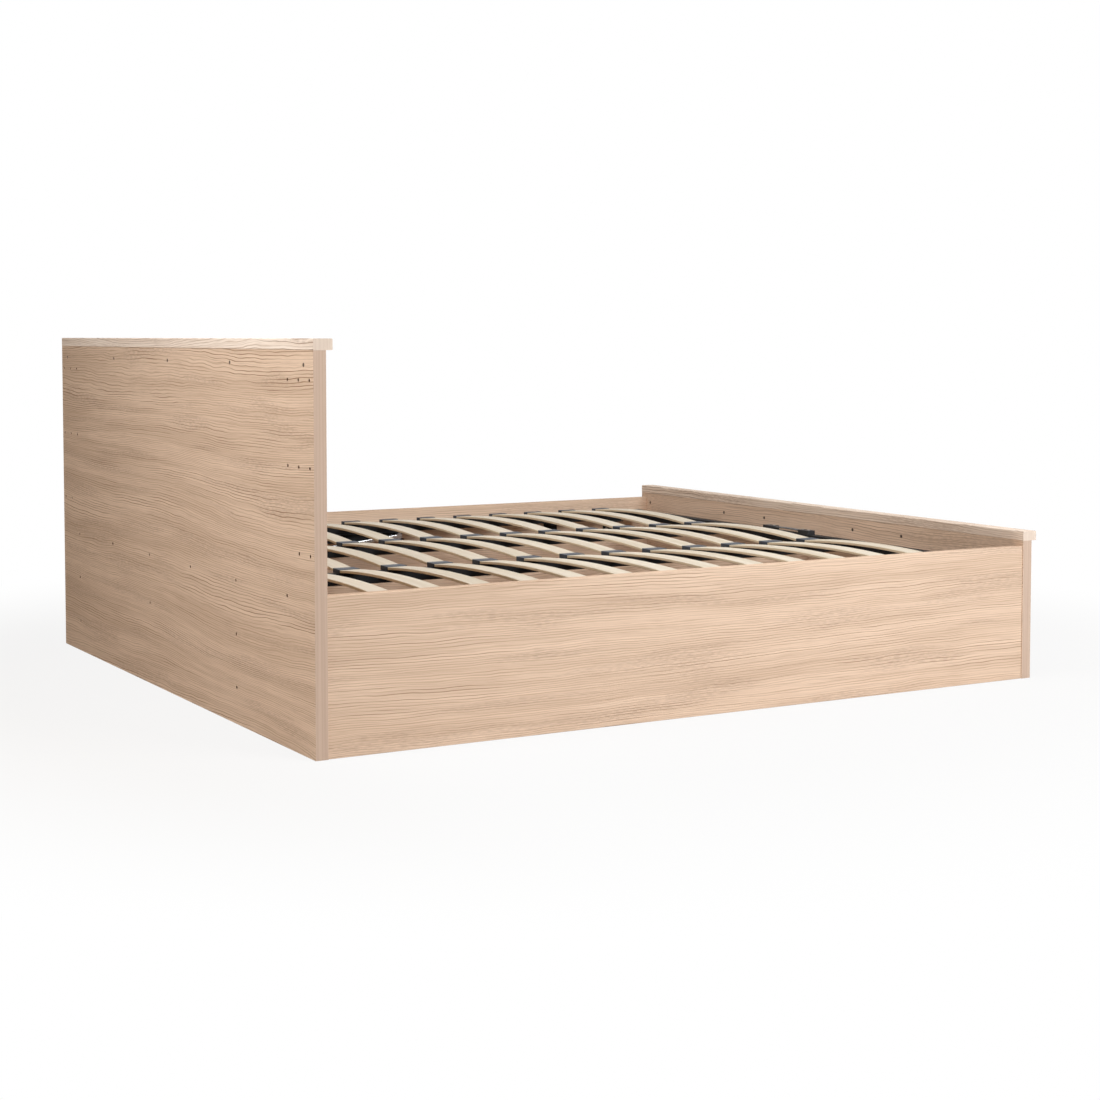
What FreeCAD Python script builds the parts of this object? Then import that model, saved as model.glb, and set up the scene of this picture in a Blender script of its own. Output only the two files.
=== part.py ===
import FreeCAD, Part
import math
import os
from FreeCAD import Vector

# Ottoman bed, super king size, in millimetres.
# X runs across the bed, +Y points to the head, +Z is up.
# The origin is on the ground under the middle of the whole bed.

# Mattress space and the boards around it
mattress_width = 1800.0
mattress_length = 2000.0
mattress_side_gap = 7.0
mattress_end_gap = 5.0
board = 30.0
rail_recess = 3.0
rail_height = 355.0
headboard_height = 910.0
footboard_height = 395.0
cap_thickness = 25.0
cap_overhang = 15.0
board_edge_round = 1.0
cap_edge_round = 2.0
overrun = 1.0

inner_width = mattress_width + 2 * mattress_side_gap
inner_length = mattress_length + 2 * mattress_end_gap
rail_inner = inner_width / 2
rail_outer = rail_inner + board
bed_half = rail_outer + rail_recess
head_back = (inner_length + 2 * board + cap_overhang) / 2
head_face = head_back - board
foot_face = head_face - inner_length
foot_front = foot_face - board
headboard_panel_top = headboard_height - cap_thickness
footboard_panel_top = footboard_height - cap_thickness

# Drilled holes in the back of the headboard
drill_radius = 4.0
drill_depth = 14.0
end_hole_edge = 22.0
end_hole_spacing = 61.5
end_hole_top = 820.0
end_hole_drop = 189.5
end_hole_columns = ((0, 1, 2), (0, 1, 2), (0, 1))
low_hole_bottom = 87.0
low_hole_rise = 127.0
low_hole_end = 155.0
low_hole_middle = 2.5
low_hole_columns = ((1, 5), (1, 3, 5), (0, 1, 2, 3, 4, 5))

low_hole_spacing = (bed_half - low_hole_end) / low_hole_middle

# Cams and cam bolts that hold the caps
cam_radius = 5.0
cam_clearance = 0.1
cam_hole_depth = 16.0
cam_recess = 1.0
cam_drop = 32.0
cam_end = 54.0
cam_slot_width = 1.2
cam_slot_length = 6.0
cam_slot_depth = 2.5
headboard_cam_steps = (-4, -2, 0, 2, 4)
footboard_cam_steps = (-4, -2, -1, 1, 2, 4)
cam_bolt_radius = 3.5
cam_bolt_clearance = 0.1
cam_bolt_inset = 11.0
cam_bolt_grip = 12.0

cam_pitch = (bed_half - cam_end) / max(headboard_cam_steps)

# Storage well: centre board, cleats, floor panels and dowels
centre_board = 18.0
centre_board_height = 243.0
cleat_width = 18.0
cleat_height = 25.0
floor_panel = 12.0
floor_gap = 1.0
dowel_radius = 5.0
dowel_depth = 15.0
dowel_clearance = 0.05
dowel_low = 70.0
dowel_high = 190.0
floor_top = cleat_height + floor_panel

# Screws
screw_radius = 2.5
screw_length = 20.0
screw_head_radius = 5.0
screw_head_height = 3.0
screw_head_edge = 0.8
screw_clearance = 0.05
screw_socket = 1.6
screw_socket_depth = 1.8

# Corner brackets
bracket_plate = 3.0
bracket_leg = 40.0
bracket_bottom = 45.0
bracket_height = 100.0
bracket_screw_inset = 22.0
bracket_screw_end = 20.0

# Lift frame of square tube
tube = 30.0
tube_wall = 2.0
tube_round = 3.0
tube_top = 318.0
frame_head_gap = 22.0
frame_foot_gap = 55.0
frame_side_gap = 22.0
slat_columns = 3
plug_plate = 3.0
plug_length = 12.0
plug_clearance = 0.2

tube_bottom = tube_top - tube
row_outer = rail_inner - frame_side_gap - tube / 2
row_pitch = 2 * row_outer / slat_columns
row_inner = row_pitch / 2
side_tube_inner = row_outer - tube / 2
side_tube_outer = row_outer + tube / 2
frame_head = head_face - frame_head_gap
frame_foot = foot_face + frame_foot_gap

# Slats and their holders
slat_width = 53.0
slat_thickness = 7.0
slat_rise = 13.5
slat_edge_round = 1.5
slat_end_gap = 8.0
slat_rows = 13
slat_first_setback = 201.5
slat_last_setback = 218.5
holder_floor = 1.5
holder_wall = 2.0
holder_height = 11.5
holder_grip = 16.0
holder_end = 5.0
holder_corner = 1.5
holder_top_round = 1.0
pocket_clearance = 0.2
spigot_radius = 4.0
spigot_length = 8.0
spigot_clearance = 0.1
side_spigot_inset = 6.0

slat_length = row_pitch - slat_end_gap
slat_seat = tube_top + holder_floor
slat_first = head_face - slat_first_setback
slat_pitch = (inner_length - slat_first_setback - slat_last_setback) / (slat_rows - 1)

# Lift mechanism: the frame turns about the hinge pins near the head.
# Each arm is as long as its pivot is from the hinge, so it turns twice as far as the frame.
lift_turn = math.radians(40.0)
hinge_setback = 71.0
hinge_drop = 11.0
hinge_pin_radius = 6.0
pin_clearance = 0.05
pin_head_radius = 9.0
pin_head = 5.0
side_play = 0.3
plate = 4.0
lug = 5.0
lug_half = 18.0
lug_below = 16.0
hinge_plate_foot_side = 48.0
hinge_plate_head_side = 26.0
hinge_plate_below = 47.0
hinge_plate_above = 35.0
plate_corner = 8.0
plate_screw_inset = 12.0

arm_length = 477.0
arm_drop = 52.0
arm_thickness = 6.0
arm_bar = 12.0
arm_edge_round = 2.5
arm_pivot_eye = 14.0
arm_tip_eye = 10.0
arm_stud_eye = 10.0
arm_sleeve_radius = 10.0
roller_radius = 9.0
roller_width = 12.0
roller_pin_radius = 4.0
roller_head_radius = 6.0
roller_head = 1.5
channel_web = 3.0
channel_flange = 3.0
channel_depth = 19.0
channel_room = 1.0
channel_end_room = 20.0
channel_web_top_gap = 4.0
arm_play = 1.0

strut_reach = 188.0
strut_spread = math.radians(70.0)
strut_inset = 27.0
strut_eye_radius = 9.0
strut_eye_width = 10.0
strut_pin_radius = 4.0
strut_stud_radius = 7.0
strut_head_radius = 6.5
strut_head = 3.5
cylinder_radius = 10.0
cylinder_bore = 7.5
cylinder_start = 14.0
cylinder_end = 189.0
cylinder_base = 5.0
gland = 8.0
cylinder_edge = 1.5
neck_radius = 4.8
neck_length = 10.0
rod_radius = 4.0
rod_length = 193.0
piston = 8.0
piston_clearance = 0.06
lift_plate_margin = 28.0
lift_plate_low_margin = 15.0

hinge_y = head_face - hinge_setback
hinge_z = tube_bottom - hinge_drop
arm_slope = math.asin(arm_drop / arm_length)
arm_pivot_y = hinge_y - arm_length * math.cos(arm_slope)
arm_pivot_z = hinge_z - arm_drop
strut_high_y = arm_pivot_y - strut_reach * math.cos(arm_slope)
strut_high_z = arm_pivot_z + strut_reach * math.sin(arm_slope)
strut_low_y = arm_pivot_y - strut_reach * math.cos(strut_spread - arm_slope)
strut_low_z = arm_pivot_z - strut_reach * math.sin(strut_spread - arm_slope)
strut_closed = 2 * strut_reach * math.sin(strut_spread / 2)
plate_face = rail_inner - plate
channel_mouth = side_tube_inner - channel_depth
arm_outer = channel_mouth - arm_play
arm_inner = arm_outer - arm_thickness
strut_x = rail_inner - strut_inset
strut_eye_outer = strut_x + strut_eye_width / 2
strut_eye_inner = strut_x - strut_eye_width / 2

# Rests under the side tubes
rest_setbacks = (155.0, 390.0)
rest_width = 50.0
rest_leg = 50.0
rest_pad = 4.0
rest_pad_length = 40.0
rest_pad_width = 20.0
rest_screw_drop = 34.0
rest_screw_half = 14.0

rest_places = [foot_face + setback for setback in rest_setbacks]

# Pull strap on the foot tube
strap_half = 114.0
strap_width = 22.0
strap_thickness = 2.5
strap_lift = 6.5
strap_rise = 1.5
strap_slot_clearance = 0.1
block_length = 50.0
block_height = 11.5
block_side = 3.0
block_end = 6.0
block_round = 2.0
strap_screw_radius = 2.0
strap_screw_inset = 14.0
strap_screw_depth = 8.0
strap_head_radius = 4.0
strap_head = 2.0

strap_low = tube_top + strap_lift
strap_high = strap_low + strap_thickness
strap_end = strap_half - block_end
block_inner = strap_half - block_length
block_top = tube_top + block_height


def box(x0, x1, y0, y1, z0, z1):
    return Part.makeBox(x1 - x0, y1 - y0, z1 - z0, Vector(x0, y0, z0))


def rod_x(radius, x0, x1, y, z):
    return Part.makeCylinder(radius, abs(x1 - x0), Vector(min(x0, x1), y, z), Vector(1, 0, 0))


def rod_y(radius, x, y0, y1, z):
    return Part.makeCylinder(radius, abs(y1 - y0), Vector(x, min(y0, y1), z), Vector(0, 1, 0))


def rod_z(radius, x, y, z0, z1):
    return Part.makeCylinder(radius, abs(z1 - z0), Vector(x, y, min(z0, z1)), Vector(0, 0, 1))


def edges_along(shape, direction):
    """Straight edges of a shape that run along a direction."""
    found = []
    for edge in shape.Edges:
        ends = [vertex.Point for vertex in edge.Vertexes]
        if len(ends) == 2 and abs((ends[1] - ends[0]).normalize().dot(direction)) > 0.999:
            found.append(edge)
    return found


def join(shapes):
    whole = shapes[0].multiFuse(shapes[1:]) if len(shapes) > 1 else shapes[0]
    return whole.removeSplitter()


def cut(shape, tools):
    return shape.cut(Part.makeCompound(tools)) if tools else shape


def mirrored(shape):
    return shape.mirror(Vector(0, 0, 0), Vector(1, 0, 0))


def both_sides(shapes):
    return list(shapes) + [mirrored(shape) for shape in shapes]


def save(name, shape):
    shapes = shape if isinstance(shape, list) else [shape]
    solids = [solid for one in shapes for solid in one.Solids]
    whole = solids[0] if len(solids) == 1 else Part.makeCompound(solids)
    whole.exportStep("parts/" + name + ".step")


def screw(seat, into):
    """A round-headed screw whose head sits on a seat."""
    shank = Part.makeCylinder(screw_radius, screw_length, seat, into)
    head = Part.makeCylinder(screw_head_radius, screw_head_height, seat, into * -1)
    rim = [edge for edge in head.Edges if edge.Closed and (edge.CenterOfMass - seat).Length > overrun]
    head = head.makeChamfer(screw_head_edge, rim)
    top = seat - into * screw_head_height
    socket = Part.makeCylinder(screw_socket, screw_socket_depth, top, into)
    return join([shank, head]).cut(socket)


def screw_hole(seat, into):
    return Part.makeCylinder(screw_radius + screw_clearance, screw_length, seat, into)


# Screw places, on the right-hand side; the left is a mirror image
def corner_seats():
    """Seats of the four screws of each corner bracket, with the way each screw goes in."""
    seats = []
    ends = ((head_face, -1, Vector(0, 1, 0)), (foot_face, 1, Vector(0, -1, 0)))
    heights = (bracket_bottom + bracket_screw_end, bracket_bottom + bracket_height - bracket_screw_end)
    for face, way, into in ends:
        for height in heights:
            rail_seat = Vector(rail_inner - bracket_plate, face + way * bracket_screw_inset, height)
            board_seat = Vector(rail_inner - bracket_screw_inset, face + way * bracket_plate, height)
            seats.append((rail_seat, Vector(1, 0, 0)))
            seats.append((board_seat, into))
    return seats


def plate_corners(y0, y1, z0, z1):
    corners = []
    for y in (y0 + plate_screw_inset, y1 - plate_screw_inset):
        for z in (z0 + plate_screw_inset, z1 - plate_screw_inset):
            corners.append((Vector(plate_face, y, z), Vector(1, 0, 0)))
    return corners


hinge_plate_span = (hinge_y - hinge_plate_foot_side, hinge_y + hinge_plate_head_side,
                    hinge_z - hinge_plate_below, hinge_z + hinge_plate_above)
lift_plate_span = (strut_low_y - lift_plate_margin, arm_pivot_y + lift_plate_margin,
                   strut_low_z - lift_plate_low_margin, arm_pivot_z + lift_plate_margin)


def rest_seats():
    seats = []
    for place in rest_places:
        for way in (-1, 1):
            seat = Vector(rail_inner - bracket_plate, place + way * rest_screw_half,
                          tube_bottom - rest_screw_drop)
            seats.append((seat, Vector(1, 0, 0)))
    return seats


side_seats = (corner_seats() + plate_corners(*hinge_plate_span)
              + plate_corners(*lift_plate_span) + rest_seats())
side_holes = [screw_hole(seat, into) for seat, into in side_seats]


# Boards
def panel(y0, y1, top):
    plain = box(-bed_half, bed_half, y0, y1, 0, top)
    return plain.makeFillet(board_edge_round, edges_along(plain, Vector(0, 0, 1)))


def cam_places(steps):
    return [step * cam_pitch for step in steps]


def cam_cuts(steps, face, inward, top):
    """Holes for the cams in a board's face and for their bolts in its top."""
    height = top - cam_drop
    cuts = []
    for x in cam_places(steps):
        cuts.append(rod_y(cam_radius + cam_clearance, x, face - inward * overrun,
                          face + inward * cam_hole_depth, height))
        cuts.append(rod_z(cam_bolt_radius + cam_bolt_clearance, x, face + inward * cam_bolt_inset,
                          height, top + overrun))
    return cuts


def dowel_places(face):
    return [Vector(0, face, height) for height in (dowel_low, dowel_high)]


def dowel_cuts():
    cuts = []
    for face in (head_face, foot_face):
        for place in dowel_places(face):
            cuts.append(rod_y(dowel_radius + dowel_clearance, place.x, face - dowel_depth,
                              face + dowel_depth, place.z))
    return cuts


def headboard_drilling():
    cuts = []
    start = head_back + overrun
    end = head_back - drill_depth
    for row, columns in enumerate(end_hole_columns):
        height = end_hole_top - row * end_hole_drop
        for column in columns:
            x = bed_half - end_hole_edge - column * end_hole_spacing
            cuts.append(rod_y(drill_radius, x, start, end, height))
            cuts.append(rod_y(drill_radius, -x, start, end, height))
    for row, columns in enumerate(low_hole_columns):
        height = low_hole_bottom + row * low_hole_rise
        for column in columns:
            x = (column - low_hole_middle) * low_hole_spacing
            cuts.append(rod_y(drill_radius, x, start, end, height))
    return cuts


def headboard_panel():
    cuts = headboard_drilling() + dowel_cuts() + both_sides(side_holes)
    cuts += cam_cuts(headboard_cam_steps, head_back, -1, headboard_panel_top)
    return cut(panel(head_face, head_back, headboard_panel_top), cuts)


def footboard_panel():
    cuts = dowel_cuts() + both_sides(side_holes)
    cuts += cam_cuts(footboard_cam_steps, foot_face, -1, footboard_panel_top)
    return cut(panel(foot_front, foot_face, footboard_panel_top), cuts)


def cap(y_front, y_back, bottom, steps, bolt_y):
    plain = box(-bed_half, bed_half, y_front, y_back, bottom, bottom + cap_thickness)
    strip = plain.makeFillet(cap_edge_round, edges_along(plain, Vector(1, 0, 0)))
    cuts = [rod_z(cam_bolt_radius + cam_bolt_clearance, x, bolt_y, bottom - overrun, bottom + cam_bolt_grip)
            for x in cam_places(steps)]
    return cut(strip, cuts)


def headboard_cap():
    return cap(head_face - cap_overhang, head_back, headboard_panel_top, headboard_cam_steps,
               head_back - cam_bolt_inset)


def footboard_cap():
    return cap(foot_front - cap_overhang, foot_face, footboard_panel_top, footboard_cam_steps,
               foot_face - cam_bolt_inset)


def cam(x, face, height):
    outside = face - cam_recess
    inside = face - cam_hole_depth
    disc = rod_y(cam_radius, x, inside, outside, height)
    floor = outside - cam_slot_depth
    half_width = cam_slot_width / 2
    half_length = cam_slot_length / 2
    across = box(x - half_length, x + half_length, floor, outside + overrun, height - half_width, height + half_width)
    along = box(x - half_width, x + half_width, floor, outside + overrun, height - half_length, height + half_length)
    return cut(disc, [join([across, along])])


def cam_bolt(x, face, height, top):
    return rod_z(cam_bolt_radius, x, face - cam_bolt_inset, height + cam_radius, top + cam_bolt_grip)


def cams():
    head = [cam(x, head_back, headboard_panel_top - cam_drop) for x in cam_places(headboard_cam_steps)]
    foot = [cam(x, foot_face, footboard_panel_top - cam_drop) for x in cam_places(footboard_cam_steps)]
    return head + foot


def cam_bolts():
    head = [cam_bolt(x, head_back, headboard_panel_top - cam_drop, headboard_panel_top)
            for x in cam_places(headboard_cam_steps)]
    foot = [cam_bolt(x, foot_face, footboard_panel_top - cam_drop, footboard_panel_top)
            for x in cam_places(footboard_cam_steps)]
    return head + foot


def side_rail():
    plain = box(rail_inner, rail_outer, foot_face, head_face, 0, rail_height)
    rounded = plain.makeFillet(board_edge_round, edges_along(plain, Vector(0, 1, 0)))
    return cut(rounded, side_holes)


# Storage well
def centre_board_piece():
    half = centre_board / 2
    return cut(box(-half, half, foot_face, head_face, 0, centre_board_height), dowel_cuts())


def floor_cleats():
    half = centre_board / 2
    beside_rail = box(rail_inner - cleat_width, rail_inner, foot_face, head_face, 0, cleat_height)
    beside_centre = box(half, half + cleat_width, foot_face, head_face, 0, cleat_height)
    return both_sides([beside_rail, beside_centre])


def floor_piece(y0, y1):
    return box(centre_board / 2 + floor_gap, rail_inner - floor_gap, y0 + floor_gap, y1 - floor_gap,
               cleat_height, floor_top)


def dowels():
    pegs = []
    for face in (head_face, foot_face):
        for place in dowel_places(face):
            pegs.append(rod_y(dowel_radius, place.x, face - dowel_depth, face + dowel_depth, place.z))
    return pegs


# Steel on the base
def corner_bracket(face, way):
    top = bracket_bottom + bracket_height
    end = face + way * bracket_leg
    skin = face + way * bracket_plate
    on_rail = box(rail_inner - bracket_plate, rail_inner, min(face, end), max(face, end), bracket_bottom, top)
    on_board = box(rail_inner - bracket_leg, rail_inner, min(face, skin), max(face, skin), bracket_bottom, top)
    return cut(join([on_rail, on_board]), side_holes)


def steel_plate(y0, y1, z0, z1):
    plain = box(plate_face, rail_inner, y0, y1, z0, z1)
    rounded = plain.makeFillet(plate_corner, edges_along(plain, Vector(1, 0, 0)))
    return cut(rounded, side_holes)


def hinge_plate():
    lug_inner = side_tube_inner - lug
    pin_end = lug_inner - side_play
    pin = rod_x(hinge_pin_radius, plate_face, pin_end - pin_head, hinge_y, hinge_z)
    head = rod_x(pin_head_radius, pin_end, pin_end - pin_head, hinge_y, hinge_z)
    return join([steel_plate(*hinge_plate_span), pin, head])


def lift_plate():
    pivot_end = arm_inner - side_play
    sleeve = rod_x(arm_sleeve_radius, plate_face, arm_outer + side_play, arm_pivot_y, arm_pivot_z)
    pin = rod_x(hinge_pin_radius, plate_face, pivot_end - pin_head, arm_pivot_y, arm_pivot_z)
    head = rod_x(pin_head_radius, pivot_end, pivot_end - pin_head, arm_pivot_y, arm_pivot_z)
    stud_end = strut_eye_inner - side_play
    stud = rod_x(strut_stud_radius, plate_face, strut_eye_outer + side_play, strut_low_y, strut_low_z)
    stud_pin = rod_x(strut_pin_radius, plate_face, stud_end - strut_head, strut_low_y, strut_low_z)
    stud_head = rod_x(strut_head_radius, stud_end, stud_end - strut_head, strut_low_y, strut_low_z)
    return join([steel_plate(*lift_plate_span), sleeve, pin, head, stud, stud_pin, stud_head])


def rest_bracket(place):
    top = tube_bottom - rest_pad
    y0 = place - rest_width / 2
    y1 = place + rest_width / 2
    upright = box(rail_inner - bracket_plate, rail_inner, y0, y1, top - rest_leg, top)
    shelf = box(side_tube_inner, rail_inner, y0, y1, top - bracket_plate, top)
    return cut(join([upright, shelf]), side_holes)


def rest_pad_piece(place):
    return box(row_outer - rest_pad_width / 2, row_outer + rest_pad_width / 2, place - rest_pad_length / 2,
               place + rest_pad_length / 2, tube_bottom - rest_pad, tube_bottom)


# Lift frame
def hollow_tube(x0, x1, y0, y1, along):
    solid = box(x0, x1, y0, y1, tube_bottom, tube_top)
    solid = solid.makeFillet(tube_round, edges_along(solid, along))
    wall_x = tube_wall * (1 - along.x) - overrun * along.x
    wall_y = tube_wall * (1 - along.y) - overrun * along.y
    inside = box(x0 + wall_x, x1 - wall_x, y0 + wall_y, y1 - wall_y, tube_bottom + tube_wall, tube_top - tube_wall)
    return solid.cut(inside)


def slat_places():
    return [slat_first - row * slat_pitch for row in range(slat_rows)]


def spigot_cuts(x):
    return [rod_z(spigot_radius + spigot_clearance, x, y, tube_top - tube_wall - overrun, tube_top + overrun)
            for y in slat_places()]


def side_tube():
    plain = hollow_tube(side_tube_inner, side_tube_outer, frame_foot, frame_head, Vector(0, 1, 0))
    return cut(plain, spigot_cuts(row_outer - side_spigot_inset))


def inner_tube():
    half = tube / 2
    plain = hollow_tube(row_inner - half, row_inner + half, frame_foot + tube, frame_head - tube, Vector(0, 1, 0))
    return cut(plain, spigot_cuts(row_inner))


def cross_tube(y0):
    return hollow_tube(-side_tube_inner, side_tube_inner, y0, y0 + tube, Vector(1, 0, 0))


def strap_screw_places():
    middle = (block_inner + strap_end) / 2
    return [way * middle + side * strap_screw_inset for way in (-1, 1) for side in (-1, 1)]


def strap_screw_cuts():
    y = frame_foot + tube / 2
    return [rod_z(strap_screw_radius + screw_clearance, x, y, tube_top - strap_screw_depth, block_top + overrun)
            for x in strap_screw_places()]


def foot_tube():
    return cut(cross_tube(frame_foot), strap_screw_cuts())


def tube_plug(end, way):
    reach = tube / 2 - tube_wall - plug_clearance
    middle = tube_bottom + tube / 2
    face = end + way * plug_plate
    depth = end - way * plug_length
    cover = box(side_tube_inner, side_tube_outer, min(end, face), max(end, face), tube_bottom, tube_top)
    cover = cover.makeFillet(tube_round, edges_along(cover, Vector(0, 1, 0)))
    stem = box(row_outer - reach, row_outer + reach, min(end, depth), max(end, depth), middle - reach, middle + reach)
    return join([cover, stem])


def hinge_lug():
    inside = side_tube_inner - lug
    upper = box(inside, side_tube_inner, hinge_y - lug_half, hinge_y + lug_half, hinge_z, tube_top - tube_round)
    lower = rod_x(lug_half, inside, side_tube_inner, hinge_y, hinge_z)
    below = box(inside - overrun, side_tube_inner + overrun, hinge_y - 2 * lug_half, hinge_y + 2 * lug_half,
                hinge_z - 2 * lug_half, hinge_z - lug_below)
    bore = rod_x(hinge_pin_radius + pin_clearance, inside - overrun, side_tube_inner + overrun, hinge_y, hinge_z)
    return cut(join([upper, lower]), [below, bore])


def roller_channel():
    """Channel on the side tube that the arm's roller runs in, on a line through the hinge."""
    far = 2 * arm_length * math.cos(arm_slope) + channel_end_room
    near = 2 * arm_length * math.cos(arm_slope + lift_turn) - channel_end_room
    y0 = hinge_y - far
    y1 = hinge_y - near
    half = roller_radius + channel_room
    web = box(side_tube_inner - channel_web, side_tube_inner, y0, y1, hinge_z - half - channel_flange,
              tube_top - channel_web_top_gap)
    low = box(channel_mouth, side_tube_inner, y0, y1, hinge_z - half - channel_flange, hinge_z - half)
    high = box(channel_mouth, side_tube_inner, y0, y1, hinge_z + half, hinge_z + half + channel_flange)
    return join([web, low, high])


def slat(thickness, width, edge_round):
    """One bowed slat in the middle of the bed, across X, its ends seated at height 0."""
    half = slat_length / 2
    bend = (half ** 2 + slat_rise ** 2) / (2 * slat_rise)
    sweep = math.degrees(math.asin(half / bend))
    bar = box(0, width, -width / 2, width / 2, slat_rise, slat_rise + thickness)
    if edge_round:
        bar = bar.makeFillet(edge_round, edges_along(bar, Vector(1, 0, 0)))
    section = min(bar.Faces, key=lambda face: face.CenterOfMass.x)
    centre = Vector(0, 0, slat_rise - bend)
    section.rotate(centre, Vector(0, 1, 0), -sweep)
    return section.revolve(centre, Vector(0, 1, 0), 2 * sweep)


def moved(shape, x, y, z):
    copy = shape.copy()
    copy.translate(Vector(x, y, z))
    return copy


def slat_row(row, one):
    y = slat_places()[row]
    return [moved(one, column * row_pitch, y, slat_seat) for column in (-1, 0, 1)]


def holder_block(x0, x1, spigot_x):
    half = slat_width / 2 + holder_wall
    block = box(x0, x1, -half, half, tube_top, tube_top + holder_height)
    block = block.makeFillet(holder_corner, edges_along(block, Vector(0, 0, 1)))
    top = tube_top + holder_height
    rim = [edge for edge in block.Edges if abs(edge.BoundBox.ZMin - top) < pocket_clearance]
    block = block.makeFillet(holder_top_round, rim)
    spigot = rod_z(spigot_radius, spigot_x, 0, tube_top - spigot_length, tube_top + holder_floor)
    return join([block, spigot])


def inner_holder():
    pocket = slat(slat_thickness + pocket_clearance, slat_width + 2 * pocket_clearance, 0)
    reach = holder_grip + slat_end_gap / 2
    block = holder_block(row_inner - reach, row_inner + reach, row_inner)
    return cut(block, [moved(pocket, column * row_pitch, 0, slat_seat) for column in (0, 1)])


def side_holder():
    pocket = slat(slat_thickness + pocket_clearance, slat_width + 2 * pocket_clearance, 0)
    slat_end = row_outer - slat_end_gap / 2
    block = holder_block(slat_end - holder_grip, slat_end + holder_end, row_outer - side_spigot_inset)
    return cut(block, [moved(pocket, row_pitch, 0, slat_seat)])


def holder_row(one):
    return [moved(one, 0, y, 0) for y in slat_places()]


def pull_strap():
    """Flat band a little over the foot tube, its ends held in the slots of the two blocks."""
    y = frame_foot + tube / 2
    under = Part.Arc(Vector(-block_inner, 0, strap_low), Vector(0, 0, strap_low + strap_rise),
                     Vector(block_inner, 0, strap_low)).toShape()
    over = Part.Arc(Vector(block_inner, 0, strap_high), Vector(0, 0, strap_high + strap_rise),
                    Vector(-block_inner, 0, strap_high)).toShape()
    edges = [Part.makeLine(Vector(-strap_end, 0, strap_low), Vector(-block_inner, 0, strap_low)), under,
             Part.makeLine(Vector(block_inner, 0, strap_low), Vector(strap_end, 0, strap_low)),
             Part.makeLine(Vector(strap_end, 0, strap_low), Vector(strap_end, 0, strap_high)),
             Part.makeLine(Vector(strap_end, 0, strap_high), Vector(block_inner, 0, strap_high)), over,
             Part.makeLine(Vector(-block_inner, 0, strap_high), Vector(-strap_end, 0, strap_high)),
             Part.makeLine(Vector(-strap_end, 0, strap_high), Vector(-strap_end, 0, strap_low))]
    band = Part.Face(Part.Wire(edges)).extrude(Vector(0, strap_width, 0))
    return cut(moved(band, 0, y - strap_width / 2, 0), strap_screw_cuts())


def strap_block():
    y = frame_foot + tube / 2
    half = strap_width / 2 + block_side
    slot_half = strap_width / 2 + strap_slot_clearance
    block = box(block_inner, strap_half, y - half, y + half, tube_top, block_top)
    block = block.makeFillet(block_round, edges_along(block, Vector(0, 0, 1)))
    slot = box(block_inner - overrun, strap_end, y - slot_half, y + slot_half,
               strap_low, strap_high + strap_slot_clearance)
    return cut(block, [slot] + strap_screw_cuts())


def strap_screws():
    y = frame_foot + tube / 2
    screws = []
    for x in strap_screw_places():
        shank = rod_z(strap_screw_radius, x, y, tube_top - strap_screw_depth, block_top)
        head = rod_z(strap_head_radius, x, y, block_top, block_top + strap_head)
        screws.append(join([shank, head]))
    return screws


# Moving parts of the lift
def along_arm(distance):
    return Vector(0, arm_pivot_y - distance * math.cos(arm_slope), arm_pivot_z + distance * math.sin(arm_slope))


def lift_arm():
    start = along_arm(0)
    tip = along_arm(arm_length)
    stud = along_arm(strut_reach)
    bar = box(arm_inner, arm_outer, start.y - arm_length, start.y, start.z - arm_bar / 2, start.z + arm_bar / 2)
    bar = bar.makeFillet(arm_edge_round, edges_along(bar, Vector(0, 1, 0)))
    bar.rotate(start, Vector(1, 0, 0), -math.degrees(arm_slope))
    eyes = [rod_x(arm_pivot_eye, arm_inner, arm_outer, start.y, start.z),
            rod_x(arm_stud_eye, arm_inner, arm_outer, stud.y, stud.z),
            rod_x(arm_tip_eye, arm_inner, arm_outer, tip.y, tip.z)]
    roller_start = channel_mouth + channel_room
    roller_end = roller_start + roller_width + side_play
    roller_pin = [rod_x(roller_pin_radius, arm_outer, roller_end, tip.y, tip.z),
                  rod_x(roller_head_radius, arm_outer, roller_start - side_play, tip.y, tip.z),
                  rod_x(roller_head_radius, roller_end, roller_end + roller_head, tip.y, tip.z)]
    stud_end = strut_eye_outer + side_play
    strut_pin = [rod_x(strut_stud_radius, arm_outer, strut_eye_inner - side_play, stud.y, stud.z),
                 rod_x(strut_pin_radius, arm_outer, stud_end, stud.y, stud.z),
                 rod_x(strut_head_radius, stud_end, stud_end + strut_head, stud.y, stud.z)]
    bore = rod_x(hinge_pin_radius + pin_clearance, arm_inner - overrun, arm_outer + overrun, start.y, start.z)
    return cut(join([bar] + eyes + roller_pin + strut_pin), [bore])


def arm_roller():
    tip = along_arm(arm_length)
    start = channel_mouth + channel_room
    wheel = rod_x(roller_radius, start, start + roller_width, tip.y, tip.z)
    bore = rod_x(roller_pin_radius + pin_clearance, start - overrun, start + roller_width + overrun, tip.y, tip.z)
    return wheel.cut(bore)


strut_foot = Vector(strut_x, strut_low_y, strut_low_z)
strut_way = Vector(0, strut_high_y - strut_low_y, strut_high_z - strut_low_z).normalize()


def along_strut(radius, start, end):
    return Part.makeCylinder(radius, end - start, strut_foot + strut_way * start, strut_way)


def strut_eye(y, z):
    return rod_x(strut_eye_radius, strut_eye_inner, strut_eye_outer, y, z)


def strut_eye_bore(y, z):
    return rod_x(strut_pin_radius + pin_clearance, strut_eye_inner - overrun, strut_eye_outer + overrun, y, z)


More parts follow.
